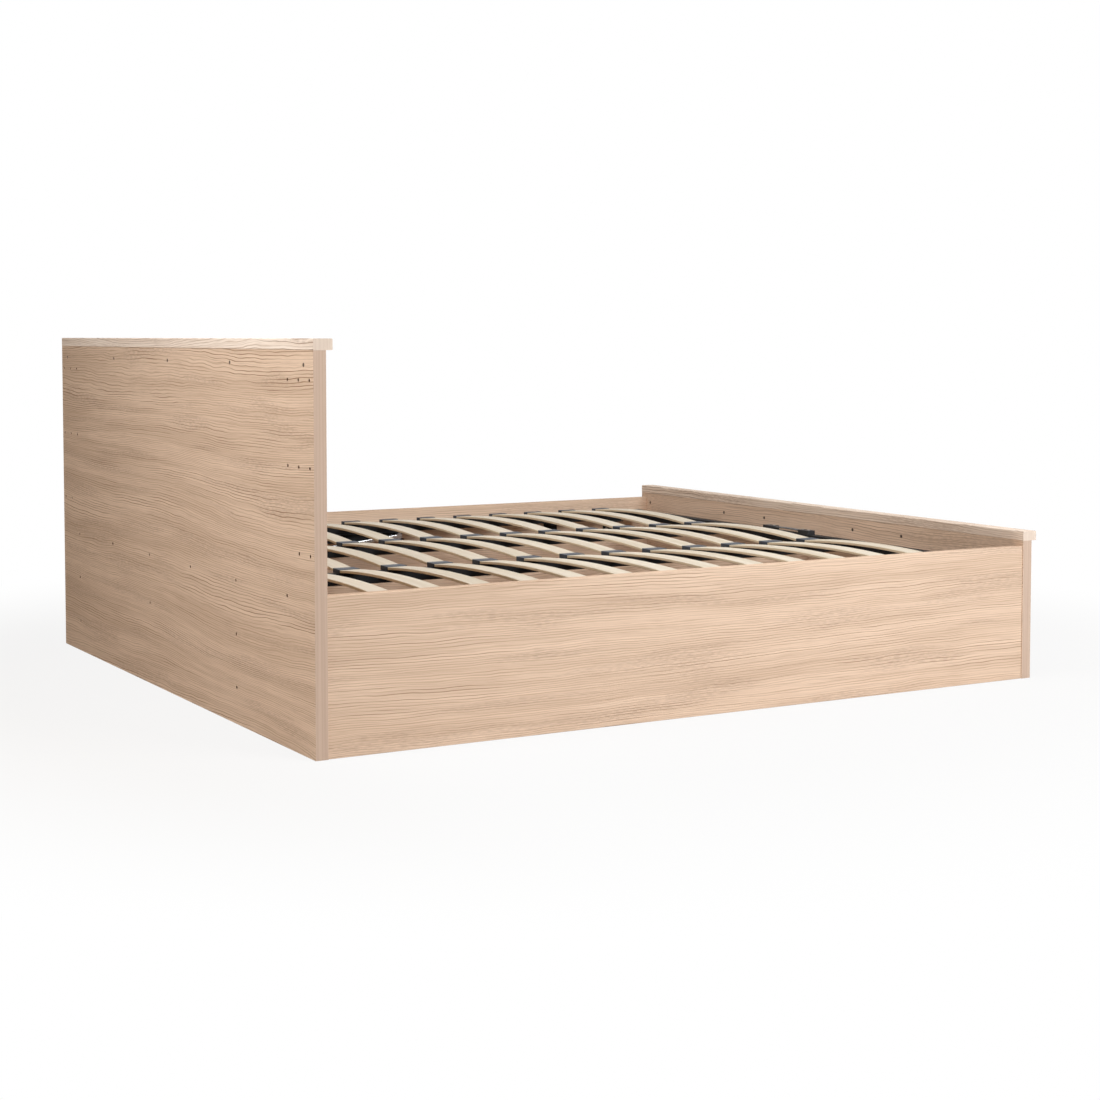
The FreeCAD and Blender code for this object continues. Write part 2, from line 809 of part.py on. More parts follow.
def strut_cylinder():
    body = along_strut(cylinder_radius, cylinder_start, cylinder_end)
    rims = [edge for edge in body.Edges if edge.Closed]
    body = body.makeChamfer(cylinder_edge, rims)
    neck = along_strut(neck_radius, 0, cylinder_start + cylinder_edge)
    bore = along_strut(cylinder_bore, cylinder_start + cylinder_base, cylinder_end - gland)
    mouth = along_strut(rod_radius + pin_clearance, cylinder_end - gland - overrun, cylinder_end + overrun)
    whole = join([body, neck, strut_eye(strut_low_y, strut_low_z)])
    return cut(whole, [bore, mouth, strut_eye_bore(strut_low_y, strut_low_z)])


def strut_rod():
    inner_end = strut_closed - rod_length
    stem = along_strut(rod_radius, inner_end, strut_closed)
    head = along_strut(cylinder_bore - piston_clearance, inner_end, inner_end + piston)
    neck = along_strut(neck_radius, strut_closed - strut_eye_radius - neck_length / 2, strut_closed)
    whole = join([stem, head, neck, strut_eye(strut_high_y, strut_high_z)])
    return cut(whole, [strut_eye_bore(strut_high_y, strut_high_z)])


def save_pair(name, shape):
    shapes = shape if isinstance(shape, list) else [shape]
    save(name + "_right", shapes)
    save(name + "_left", [mirrored(one) for one in shapes])


def base_parts():
    save("headboard_panel", headboard_panel())
    save("headboard_cap", headboard_cap())
    save("footboard_panel", footboard_panel())
    save("footboard_cap", footboard_cap())
    save_pair("side_rail", side_rail())
    save("cap_cams", cams())
    save("cap_cam_bolts", cam_bolts())
    save("centre_board", centre_board_piece())
    save("centre_dowels", dowels())
    save("floor_cleats", floor_cleats())
    middle = (head_face + foot_face) / 2
    save_pair("floor_panel_head", floor_piece(middle, head_face))
    save_pair("floor_panel_foot", floor_piece(foot_face, middle))
    save("corner_brackets", both_sides([corner_bracket(head_face, -1), corner_bracket(foot_face, 1)]))
    save_pair("hinge_plate", hinge_plate())
    save_pair("lift_plate", lift_plate())
    save("rest_brackets", both_sides([rest_bracket(place) for place in rest_places]))
    save("rest_pads", both_sides([rest_pad_piece(place) for place in rest_places]))
    save("panel_screws", both_sides([screw(seat, into) for seat, into in side_seats]))


def frame_parts():
    save_pair("side_tube", side_tube())
    save_pair("inner_tube", inner_tube())
    save("head_tube", cross_tube(frame_head - tube))
    save("foot_tube", foot_tube())
    save("tube_plugs", both_sides([tube_plug(frame_head, 1), tube_plug(frame_foot, -1)]))
    save("hinge_lugs", both_sides([hinge_lug()]))
    save("roller_channels", both_sides([roller_channel()]))
    save_pair("side_holders", holder_row(side_holder()))
    save_pair("inner_holders", holder_row(inner_holder()))
    one = slat(slat_thickness, slat_width, slat_edge_round)
    for row in range(slat_rows):
        save("slat_row_" + str(row + 1).zfill(2), slat_row(row, one))
    save("pull_strap", pull_strap())
    save("strap_blocks", both_sides([strap_block()]))
    save("strap_screws", strap_screws())


def lift_parts():
    save_pair("lift_arm", lift_arm())
    save("arm_rollers", both_sides([arm_roller()]))
    save_pair("strut_cylinder", strut_cylinder())
    save_pair("strut_rod", strut_rod())


os.makedirs("parts", exist_ok=True)
base_parts()
frame_parts()
lift_parts()
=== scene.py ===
import bmesh
import bpy
import math
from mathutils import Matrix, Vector


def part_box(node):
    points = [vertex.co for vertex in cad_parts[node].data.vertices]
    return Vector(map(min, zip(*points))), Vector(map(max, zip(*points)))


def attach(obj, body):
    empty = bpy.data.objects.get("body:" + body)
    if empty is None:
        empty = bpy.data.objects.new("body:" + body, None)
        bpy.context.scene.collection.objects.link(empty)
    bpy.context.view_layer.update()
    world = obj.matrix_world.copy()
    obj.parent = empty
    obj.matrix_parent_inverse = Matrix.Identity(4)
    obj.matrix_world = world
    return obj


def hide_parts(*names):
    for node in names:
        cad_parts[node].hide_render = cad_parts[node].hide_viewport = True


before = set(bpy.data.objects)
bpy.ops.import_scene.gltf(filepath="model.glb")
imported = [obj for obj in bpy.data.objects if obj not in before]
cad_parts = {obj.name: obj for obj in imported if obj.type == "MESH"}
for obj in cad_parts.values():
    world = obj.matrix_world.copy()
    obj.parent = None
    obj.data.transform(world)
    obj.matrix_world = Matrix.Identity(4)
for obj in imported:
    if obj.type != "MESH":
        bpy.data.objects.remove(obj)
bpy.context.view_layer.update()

# The usual curve between screen values and linear light
screen_white = 255.0
curve_knee = 0.04045
curve_slope = 12.92
curve_lift = 0.055
curve_power = 2.4


def linear(value):
    """Linear light from a screen value of 0 to 255."""
    part = value / screen_white
    if part <= curve_knee:
        return part / curve_slope
    return ((part + curve_lift) / (1.0 + curve_lift)) ** curve_power


def colour(red, green, blue):
    """Linear colour from three screen values."""
    return (linear(red), linear(green), linear(blue), 1.0)


# Camera, fitted to the edges of the boards in the photograph: metres, radians, a sensor in millimetres
camera_place = Vector((-4.8047, 2.6929, 0.9146))
camera_yaw = -0.52395
camera_pitch = 0.05478
camera_sensor = 36.0
camera_focal_pixels = 1956.33
camera_axis_row = 443.55
frame_pixels = 1100.0

# Floor and soft light of the studio, both warmer behind the headboard, where the floor is also darker as
# painted shade
floor_half = 14.0
floor_cells = 8
floor_drop = 0.0005
floor_tone = (0.58, 0.57, 0.56, 1.0)
# Painted shade: the floor's tone behind the headboard, darker to cut the light it throws back
floor_behind_painted_shade_tone = (0.40, 0.35, 0.30, 1.0)
floor_painted_shade_range = (0.7, 1.5)
floor_white_share = 0.86
shadow_range = (1.45, 2.60)
ambient_strength = 0.21
ambient_tint = (1.0, 0.93, 0.86, 1.0)
behind_tint = (1.0, 0.80, 0.62, 1.0)
behind_range = (0.0, 0.7)
white = (1.0, 1.0, 1.0, 1.0)
white_strength = 1.0

# Lamps: what they aim at, their places and sizes in metres, their power in watts
bed_middle = Vector((0.0, 0.0, 0.25))
headboard_back = Vector((-0.3, 1.04, 0.85))
key_place = (-4.2, -1.8, 3.0)
key_size = (2.6, 2.2)
key_power = 215.0
key_tint = (0.92, 0.955, 1.0)
top_place = (-1.5, 0.6, 3.5)
top_size = (3.0, 3.0)
top_power = 53.0
top_tint = (1.0, 0.98, 0.95)
fill_place = (3.8, -3.6, 1.3)
fill_size = (2.6, 2.0)
fill_power = 95.0
fill_tint = (1.0, 0.98, 0.95)
back_place = (-0.9, 2.7, 2.05)
back_size = (0.9, 0.9)
back_power = 43.0
back_tint = (0.96, 0.98, 1.0)

# Axes by number
x_axis = 0
y_axis = 1

# Ends of a step
rising = (0.0, 1.0)
falling = (1.0, 0.0)

# Noise: its finer layers and how strongly they show
smooth_detail = 1.0
plain_detail = 2.0
rich_detail = 3.0
plain_coarse = 0.5
strong_coarse = 0.6

# Gloss of a surface that has none of its own
plain_gloss = 0.5

# Oak-effect foil: lengths along the grain and across it, in metres
drift_size = (1.70, 0.30)
board_sweep = 0.110
rail_sweep = 0.050
waver_size = (0.16, 0.050)
waver_reach = 0.010
tone_size = (1.10, 0.045)
streak_size = (0.45, 0.0050)
fibre_size = (0.090, 0.0016)
patch_size = (0.55, 0.050)
ripple_size = (0.020, 0.0028)
cluster_size = (1.00, 0.060)
fade_size = (0.40, 0.010)
broad_line_spacing = 0.0066
fine_line_spacing = 0.0052
band_size = (0.0050, 0.70)
grain_relief = 0.0006
foil_skin = 0.0008
depth_turn = 0.8

# Oak-effect foil: the part of a noise over which a mark comes up, and the share of it that shows
tone_range = (0.32, 0.68)
dark_streak_range = (0.50, 0.80)
dark_streak_share = 0.32
pale_streak_range = (0.48, 0.22)
pale_streak_share = 0.35
fibre_range = (0.45, 0.80)
fibre_share = 0.30
patch_range = (0.50, 0.66)
patch_share = 0.36
ripple_range = (0.38, 0.64)
ripple_shares = (0.15, 1.0)
broad_line_share = 0.17
broad_cluster_range = (0.43, 0.60)
broad_cluster_shares = (0.20, 1.0)
broad_fade_range = (0.36, 0.60)
broad_fade_shares = (0.10, 1.0)
broad_cover_share = 0.70
fine_line_share = 0.24
fine_cluster_range = (0.62, 0.44)
fine_cluster_shares = (0.30, 1.0)
fine_fade_range = (0.62, 0.40)
fine_fade_shares = (0.25, 1.0)
fine_cover_share = 0.52
plain_marks = 1.2
strong_marks = 1.45
board_end_range = (0.55, 0.85)
band_range = (0.35, 0.65)
fine_furrow_share = 0.5
fibre_height_share = 0.35
foil_relief_share = 0.5
foil_gloss = 0.015
foil_rough_range = (0.25, 0.75)
foil_rough = (0.70, 0.86)

# Tones of the foil's marks, and of the boards: pale and deep foil, then two tones of the end band
dark_streak_tone = colour(186, 157, 131)
pale_streak_tone = colour(236, 210, 185)
fibre_tone = colour(172, 143, 118)
patch_tone = colour(174, 149, 130)
fine_line_tone = colour(160, 129, 103)
broad_line_tone = colour(134, 100, 74)
# Drilling walls: the bare board's tone, made darker as painted shade inside the holes
bare_board_and_shade_tone = colour(104, 76, 54)
band_tones = (colour(201, 177, 158), colour(193, 168, 150))
board_tones = (colour(228, 201, 177), colour(214, 187, 163), *band_tones)
# The footboard's tones are a paler copy of the boards' tones: painted light on its inner face, which faces
# away from the lamps
footboard_painted_light_tones = (colour(239, 213, 190), colour(227, 201, 178), *band_tones)
cap_tones = (colour(246, 231, 216), colour(237, 219, 203), colour(222, 205, 189), colour(216, 198, 182))
batten_tones = (colour(224, 190, 142), colour(206, 168, 120), colour(196, 158, 112), colour(188, 150, 104))

# Where in the endless pattern of the foil each board is cut
headboard_start = (3.1, 0.4, 7.3)
footboard_start = (12.6, 2.6, 2.45)
headboard_cap_start = (5.2, 8.1, 0.6)
footboard_cap_start = (9.4, 3.3, 4.8)
left_rail_start = (8.7, 26.0, 12.2)
right_rail_start = (7.8, 1.2, 9.1)
centre_board_start = (4.4, 9.7, 6.2)
batten_start = (1.3, 5.9, 8.8)

# Slats of birch plywood
slat_thickness = 0.007
ply_layer = 0.0014
birch_streak_size = (0.35, 0.0035, 0.0035)
birch_tone_size = (0.60, 0.030, 0.030)
birch_tone_range = (0.32, 0.68)
birch_streak_range = (0.55, 0.80)
birch_streak_share = 0.40
veneer_range = (0.35, 0.65)
slat_side_range = (0.55, 0.90)
slat_side_share = 0.85
birch_relief_share = 0.25
birch_rough_range = (0.25, 0.75)
birch_rough = (0.38, 0.55)
birch_deep_tone = colour(201, 187, 163)
birch_pale_tone = colour(214, 201, 181)
birch_streak_tone = colour(195, 177, 149)
# Ply layers on the slats' sides: real layers, painted paler than the top as painted light where the sides
# face away from the lamps
pale_veneer_painted_light_tone = colour(232, 216, 188)
deep_veneer_painted_light_tone = colour(212, 190, 156)

# Drawn metal
drawn_length = 0.12
drawn_width = 0.0008
cloud_size = 0.03
cloud_range = (0.30, 0.70)
drawn_line_range = (0.50, 0.80)
drawn_line_share = 0.25
drawn_relief = 0.00005
drawn_relief_share = 0.4
drawn_rough_range = (0.30, 0.70)

# Coated, moulded and pressed surfaces: the size of their grain and its height
powder_grain = (0.0009, 0.0002)
strut_grain = (0.0006, 0.0001)
moulded_grain = (0.0008, 0.0002)
nylon_grain = (0.0010, 0.0001)
rubber_grain = (0.0006, 0.0002)
fibreboard_grain = (0.0012, 0.0001)
mottle_spots = 40
mottle_range = (0.30, 0.70)
grit_range = (0.50, 0.80)
grit_share = 0.30
grit_relief_share = 0.6

# Strap
strap_thickness = 0.0025
strap_steps = 72
strap_cross_steps = 10
strap_edge_share = 0.35
rib_pitch = 0.0022
rib_height = 0.00036
rib_relief_share = 0.8
weave_range = (0.02, 0.20)
fuzz_size = 0.0007
fuzz_range = (0.55, 0.80)
fuzz_share = 0.35
strap_sheen = 0.25
strap_rough_range = (0.30, 0.70)
strap_rough = (0.72, 0.90)
deep_thread_tone = colour(14, 14, 15)
pale_thread_tone = colour(44, 44, 46)
fuzz_tone = colour(62, 62, 64)


class Tree:
    """The nodes of a material or a world, and short calls that add to them."""

    def __init__(self, owner):
        owner.use_nodes = True
        self.nodes = owner.node_tree.nodes
        self.links = owner.node_tree.links
        self.nodes.clear()

    def feed(self, socket, source):
        """Link a socket to another one, or give it a plain value."""
        if isinstance(source, bpy.types.NodeSocket):
            self.links.new(source, socket)
        else:
            socket.default_value = source

    def math(self, kind, first, second=0.0, third=0.0):
        """One sum with up to three values."""
        node = self.nodes.new("ShaderNodeMath")
        node.operation = kind
        for socket, source in zip(node.inputs, (first, second, third)):
            self.feed(socket, source)
        return node.outputs["Value"]

    def split(self, vector):
        """The three parts of a vector."""
        node = self.nodes.new("ShaderNodeSeparateXYZ")
        self.feed(node.inputs["Vector"], vector)
        return node.outputs["X"], node.outputs["Y"], node.outputs["Z"]

    def length(self, vector):
        node = self.nodes.new("ShaderNodeVectorMath")
        node.operation = "LENGTH"
        self.feed(node.inputs[0], vector)
        return node.outputs["Value"]

    def between(self, value, limits, ends=rising):
        """Smooth step from one end to the other as a value goes between two limits."""
        node = self.nodes.new("ShaderNodeMapRange")
        node.interpolation_type = "SMOOTHSTEP"
        names = ("Value", "From Min", "From Max", "To Min", "To Max")
        for name, source in zip(names, (value, *limits, *ends)):
            self.feed(node.inputs[name], source)
        return node.outputs["Result"]

    def shader(self, kind, **values):
        """A plain shader with values for its sockets."""
        node = self.nodes.new("ShaderNode" + kind)
        for name, value in values.items():
            node.inputs[name].default_value = value
        return node.outputs[0]

    def blend(self, share, first, second):
        """A shader that goes from one to another with a share."""
        node = self.nodes.new("ShaderNodeMixShader")
        for socket, source in zip(node.inputs, (share, first, second)):
            self.feed(socket, source)
        return node.outputs["Shader"]

    def seen_directly(self):
        """1 for what the camera sees itself, in a mirror or through glass."""
        rays = self.nodes.new("ShaderNodeLightPath").outputs
        direct = self.math("MAXIMUM", rays["Is Camera Ray"], rays["Is Glossy Ray"])
        return self.math("MAXIMUM", direct, rays["Is Transmission Ray"])

    def show(self, kind, surface):
        """Link a shader to the output of a material or a world."""
        output = self.nodes.new("ShaderNodeOutput" + kind)
        self.links.new(surface, output.inputs["Surface"])


class Paint(Tree):
    """One material of the part and short calls for its looks."""

    def __init__(self, name, metal=0.0, gloss=plain_gloss):
        self.material = bpy.data.materials.new(name)
        super().__init__(self.material)
        self.surface = self.nodes.new("ShaderNodeBsdfPrincipled")
        self.show("Material", self.surface.outputs["BSDF"])
        self.feed(self.surface.inputs["Metallic"], metal)
        self.feed(self.surface.inputs["Specular IOR Level"], gloss)
        where = self.nodes.new("ShaderNodeTexCoord")
        self.place = where.outputs["Object"]
        self.normal = where.outputs["Normal"]

    def moved(self, offset):
        """The place on the part, moved by an offset."""
        node = self.nodes.new("ShaderNodeVectorMath")
        node.operation = "ADD"
        self.feed(node.inputs[0], self.place)
        node.inputs[1].default_value = offset
        return node.outputs["Vector"]

    def joined(self, first, second):
        """A flat vector of two values."""
        node = self.nodes.new("ShaderNodeCombineXYZ")
        self.feed(node.inputs["X"], first)
        self.feed(node.inputs["Y"], second)
        return node.outputs["Vector"]

    def noise(self, vector, size, detail=plain_detail, coarse=plain_coarse):
        """Noise with spots of a size: one length, or one for each axis, two for a flat noise."""
        sizes = size if isinstance(size, tuple) else (size, size, size)
        scale = self.nodes.new("ShaderNodeMapping")
        self.feed(scale.inputs["Vector"], vector)
        for index, length in enumerate(sizes):
            scale.inputs["Scale"].default_value[index] = 1.0 / length
        node = self.nodes.new("ShaderNodeTexNoise")
        node.noise_dimensions = "2D" if len(sizes) == 2 else "3D"
        self.feed(node.inputs["Vector"], scale.outputs["Vector"])
        node.inputs["Scale"].default_value = 1.0
        node.inputs["Detail"].default_value = detail
        node.inputs["Roughness"].default_value = coarse
        return node.outputs["Fac"]

    def fold(self, value, pitch):
        """0 at every multiple of a pitch and a half midway between two."""
        return self.math("PINGPONG", self.math("DIVIDE", value, pitch), 0.5)

    def facing(self, axis, limits):
        """1 on the faces that look along an axis, either way, and 0 on the others."""
        return self.between(self.math("ABSOLUTE", self.split(self.normal)[axis]), limits)

    def mix(self, share, first, second):
        """A colour that goes from one to another with a share."""
        node = self.nodes.new("ShaderNodeMix")
        node.data_type = "RGBA"
        node.clamp_factor = True
        self.feed(node.inputs["Factor"], share)
        colours = [socket for socket in node.inputs if socket.type == "RGBA"]
        self.feed(colours[0], first)
        self.feed(colours[1], second)
        return [socket for socket in node.outputs if socket.type == "RGBA"][0]

    def laid(self, shade, value, limits, share, tone):
        """A shade with a tone laid over it, up to a share, as a value goes between two limits."""
        return self.mix(self.between(value, limits, (0.0, share)), shade, tone)

    def relief(self, height, distance, strength):
        """Light the surface as if it rose by a distance where the height is 1."""
        node = self.nodes.new("ShaderNodeBump")
        node.inputs["Strength"].default_value = strength
        node.inputs["Distance"].default_value = distance
        self.feed(node.inputs["Height"], height)
        self.links.new(node.outputs["Normal"], self.surface.inputs["Normal"])

    def finish(self, shade, roughness):
        """The material with its colour and roughness."""
        self.feed(self.surface.inputs["Base Color"], shade)
        self.feed(self.surface.inputs["Roughness"], roughness)
        return self.material


def lines(paint, across, spacing, share):
    """Thin lines that run with the grain: 1 on a line and 0 between lines."""
    return paint.between(paint.fold(across, spacing), (0.0, share), falling)


def bent_across(paint, along, across, sweep):
    """The place across the grain, bent by broad sweeps and a small waver."""
    flat = paint.joined(along, across)
    drift = paint.noise(flat, drift_size, smooth_detail)
    waver = paint.noise(flat, waver_size)
    bent = paint.math("MULTIPLY_ADD", drift, sweep, across)
    return paint.math("MULTIPLY_ADD", waver, waver_reach, bent)


def foil_ground(paint, grain, streak, fibre, pale, deep):
    """The foil below its lines: slow changes of tone, streaks, fibres and grey rippled patches."""
    tone = paint.noise(grain, tone_size, rich_detail)
    shade = paint.mix(paint.between(tone, tone_range), deep, pale)
    shade = paint.laid(shade, streak, dark_streak_range, dark_streak_share, dark_streak_tone)
    shade = paint.laid(shade, streak, pale_streak_range, pale_streak_share, pale_streak_tone)
    shade = paint.laid(shade, fibre, fibre_range, fibre_share, fibre_tone)
    patch = paint.between(paint.noise(grain, patch_size), patch_range)
    ripple = paint.between(paint.noise(grain, ripple_size, smooth_detail), ripple_range, ripple_shares)
    grey = paint.math("MULTIPLY", patch, ripple)
    return paint.mix(paint.math("MULTIPLY", grey, patch_share), shade, patch_tone)


def foil_lines(paint, grain, bent):
    """Broad lines in clusters, and fine ones where the broad lines are few. Both fade in and out."""
    cluster = paint.noise(grain, cluster_size)
    fade = paint.noise(grain, fade_size)
    broad = lines(paint, bent, broad_line_spacing, broad_line_share)
    broad = paint.math("MULTIPLY", broad, paint.between(cluster, broad_cluster_range, broad_cluster_shares))
    broad = paint.math("MULTIPLY", broad, paint.between(fade, broad_fade_range, broad_fade_shares))
    fine = lines(paint, bent, fine_line_spacing, fine_line_share)
    fine = paint.math("MULTIPLY", fine, paint.between(cluster, fine_cluster_range, fine_cluster_shares))
    fine = paint.math("MULTIPLY", fine, paint.between(fade, fine_fade_range, fine_fade_shares))
    return broad, fine


def in_drillings(paint, node):
    """1 on the walls of the drillings in a board and 0 on its own faces."""
    low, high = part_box(node)
    inside = 1.0
    for value, first, last in zip(paint.split(paint.place), low, high):
        from_first = paint.math("SUBTRACT", value, first)
        from_last = paint.math("SUBTRACT", last, value)
        depth = paint.math("MINIMUM", from_first, from_last)
        inside = paint.math("MULTIPLY", paint.math("GREATER_THAN", depth, foil_skin), inside)
    return inside


def oak(name, axis, start, tones, sweep=board_sweep, marks=plain_marks, drilled=None):
    """Oak-effect foil with its grain along an axis, and a plain band on the board's ends."""
    pale, deep, band, band_far = tones
    paint = Paint(name, gloss=foil_gloss)
    parts = paint.split(paint.moved(start))
    along = parts[axis]
    sideways = parts[1 - axis]
    upward = parts[2]
    across = paint.math("MULTIPLY_ADD", sideways, depth_turn, upward)
    bent = bent_across(paint, along, across, sweep)
    grain = paint.joined(along, bent)
    streak = paint.noise(grain, streak_size, rich_detail, strong_coarse)
    fibre = paint.noise(grain, fibre_size, plain_detail, strong_coarse)
    shade = foil_ground(paint, grain, streak, fibre, pale, deep)
    broad, fine = foil_lines(paint, grain, bent)
    shade = paint.mix(paint.math("MULTIPLY", fine, fine_cover_share * marks), shade, fine_line_tone)
    shade = paint.mix(paint.math("MULTIPLY", broad, broad_cover_share * marks), shade, broad_line_tone)

    end = paint.facing(axis, board_end_range)
    upright = paint.noise(paint.joined(sideways, upward), band_size)
    shade = paint.mix(end, shade, paint.mix(paint.between(upright, band_range), band, band_far))
    # Drilling walls get the bare board's tone, darkened as painted shade in the holes
    if drilled:
        shade = paint.mix(in_drillings(paint, drilled), shade, bare_board_and_shade_tone)

    furrow = paint.math("MAXIMUM", broad, paint.math("MULTIPLY", fine, fine_furrow_share))
    height = paint.math("SUBTRACT", paint.math("MULTIPLY", fibre, fibre_height_share), furrow)
    height = paint.math("MULTIPLY", height, paint.math("SUBTRACT", 1.0, end))
    paint.relief(height, grain_relief, foil_relief_share)
    return paint.finish(shade, paint.between(streak, foil_rough_range, foil_rough))


def ply_layers(paint):
    """0 and 1 by turns on the layers of a slat, which follow its bow."""
    holder_low, holder_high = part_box("inner_holders_right")
    row_low, row_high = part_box("slat_row_07")
    # The double holders stand midway between two slats, half a pitch from the middle of the bed
    pitch = holder_low.x + holder_high.x
    half = row_high.x - pitch
    rise = row_high.z - row_low.z - slat_thickness
    parts = paint.split(paint.place)
    reach = paint.math("WRAP", parts[0], pitch / 2, -pitch / 2)
    bow = paint.math("POWER", paint.math("DIVIDE", paint.math("ABSOLUTE", reach), half), 2.0)
    underside = paint.math("MULTIPLY_ADD", bow, -rise, row_low.z + rise)
    layer = paint.math("DIVIDE", paint.math("SUBTRACT", parts[2], underside), ply_layer)
    return paint.between(paint.math("PINGPONG", layer, 1.0), veneer_range)


def birch():
    """Pale plywood with fine streaks on top and thin layers on the edges; the layers are paler than the
    top, as painted light on the slats' sides.
    """
    paint = Paint("birch_plywood")
    streak = paint.noise(paint.place, birch_streak_size, rich_detail, strong_coarse)
    tone = paint.noise(paint.place, birch_tone_size)
    shade = paint.mix(paint.between(tone, birch_tone_range), birch_deep_tone, birch_pale_tone)
    shade = paint.laid(shade, streak, birch_streak_range, birch_streak_share, birch_streak_tone)
    side = paint.facing(y_axis, slat_side_range)
    # The sides' layers are lighter than the top: painted light
    edge = paint.mix(ply_layers(paint), pale_veneer_painted_light_tone, deep_veneer_painted_light_tone)
    shade = paint.mix(paint.math("MULTIPLY", side, slat_side_share), shade, edge)
    paint.relief(streak, grain_relief, birch_relief_share)
    return paint.finish(shade, paint.between(streak, birch_rough_range, birch_rough))


def grained(name, dark, pale, grain, rough, gloss=plain_gloss):
    """Moulded, coated or fibre surface: mottled colour and a fine all-over grain."""
    paint = Paint(name, gloss=gloss)
    spot, relief = grain
    mottle = paint.noise(paint.place, spot * mottle_spots, rich_detail)
    grit = paint.noise(paint.place, spot)
    shade = paint.mix(paint.between(mottle, mottle_range), dark, pale)
    shade = paint.laid(shade, grit, grit_range, grit_share, pale)
    paint.relief(grit, relief, grit_relief_share)
    return paint.finish(shade, paint.between(mottle, mottle_range, rough))


def plated(name, dark, pale, axis, rough, metal):
    """Bright metal with faint drawing lines along an axis."""
    paint = Paint(name, metal)
    sizes = tuple(drawn_length if index == axis else drawn_width for index in range(3))
    drawn = paint.noise(paint.place, sizes, plain_detail, strong_coarse)
    cloud = paint.noise(paint.place, cloud_size)
    shade = paint.mix(paint.between(cloud, cloud_range), dark, pale)
    shade = paint.laid(shade, drawn, drawn_line_range, drawn_line_share, dark)
    paint.relief(drawn, drawn_relief, drawn_relief_share)
    return paint.finish(shade, paint.between(drawn, drawn_rough_range, rough))


def webbing():
    """Black woven strap: a fine over-and-under weave."""
    paint = Paint("strap_webbing")
    along, across = paint.split(paint.place)[:2]
    weave = paint.math("MULTIPLY", paint.fold(along, rib_pitch), paint.fold(across, rib_pitch))
    fuzz = paint.noise(paint.place, fuzz_size)
    shade = paint.mix(paint.between(weave, weave_range), deep_thread_tone, pale_thread_tone)
    shade = paint.laid(shade, fuzz, fuzz_range, fuzz_share, fuzz_tone)
    paint.relief(weave, rib_height, rib_relief_share)
    paint.surface.inputs["Sheen Weight"].default_value = strap_sheen
    return paint.finish(shade, paint.between(fuzz, strap_rough_range, strap_rough))


def dress(names, material):
    """Give CAD pieces their material."""
    for name in names:
        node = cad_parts[name]
        node.data.materials.clear()
        node.data.materials.append(material)


def both(name):
    """The left and the right piece of a pair."""
    return [name + "_left", name + "_right"]


def all_of(start):
    """Every piece whose name starts with the same words."""
    return [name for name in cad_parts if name.startswith(start)]


def dress_boards():
    dress(["headboard_panel"],
          oak("oak_headboard", x_axis, headboard_start, board_tones,
              marks=strong_marks, drilled="headboard_panel"))
    dress(["footboard_panel"],
          # The footboard takes the paler tones, as painted light on its inner face
          oak("oak_footboard", x_axis, footboard_start, footboard_painted_light_tones, drilled="footboard_panel"))
    dress(["headboard_cap"], oak("oak_headboard_cap", x_axis, headboard_cap_start, cap_tones))
    dress(["footboard_cap"], oak("oak_footboard_cap", x_axis, footboard_cap_start, cap_tones))
    dress(["side_rail_left"], oak("oak_rail_left", y_axis, left_rail_start, board_tones, rail_sweep))
    dress(["side_rail_right"], oak("oak_rail_right", y_axis, right_rail_start, board_tones, rail_sweep))
    dress(["centre_board"], oak("oak_centre_board", y_axis, centre_board_start, board_tones))


def dress_steel():
    names = ["corner_brackets", "rest_brackets", "hinge_lugs", "roller_channels", "head_tube", "foot_tube"]
    for pair in ("hinge_plate", "lift_plate", "side_tube", "inner_tube"):
        names += both(pair)
    dress(names, grained("black_powder_coat", dark=colour(8, 8, 9), pale=colour(20, 20, 22),
                         grain=powder_grain, rough=(0.45, 0.60), gloss=0.20))
    dress(both("strut_cylinder"), grained("strut_paint", dark=colour(10, 10, 11), pale=colour(24, 24, 26),
                                          grain=strut_grain, rough=(0.28, 0.42)))
    dress(both("strut_rod"), plated("strut_chrome", dark=colour(196, 198, 202), pale=colour(228, 229, 232),
                                    axis=y_axis, rough=(0.06, 0.16), metal=1.0))
    dress(both("lift_arm"), plated("bright_steel", dark=colour(204, 204, 206), pale=colour(236, 236, 237),
                                   axis=y_axis, rough=(0.20, 0.32), metal=1.0))
    # The cams' zinc is coloured dark brown-grey: partly their own metal, partly painted shade of the
    # recesses they sit in
    dress(["cap_cams"], plated("cast_zinc_painted_shade", dark=colour(92, 80, 70), pale=colour(116, 103, 92),
                               axis=x_axis, rough=(0.55, 0.70), metal=0.30))
    dress(["cap_cam_bolts", "panel_screws", "strap_screws"],
          plated("zinc_plate", dark=colour(146, 138, 130), pale=colour(178, 170, 162),
                 axis=x_axis, rough=(0.40, 0.55), metal=0.50))


def dress_plastic():
    dress(both("side_holders") + both("inner_holders"),
          grained("slate_plastic", dark=colour(46, 50, 58), pale=colour(68, 73, 82),
                  grain=moulded_grain, rough=(0.48, 0.62), gloss=0.35))
    dress(["tube_plugs", "strap_blocks"],
          grained("black_plastic", dark=colour(16, 16, 18), pale=colour(34, 34, 37),
                  grain=moulded_grain, rough=(0.45, 0.60)))
    dress(["arm_rollers"], grained("roller_nylon", dark=colour(26, 26, 27), pale=colour(46, 46, 48),
                                   grain=nylon_grain, rough=(0.35, 0.50)))
    dress(["rest_pads"], grained("pad_rubber", dark=colour(16, 16, 16), pale=colour(32, 32, 32),
                                 grain=rubber_grain, rough=(0.70, 0.85)))


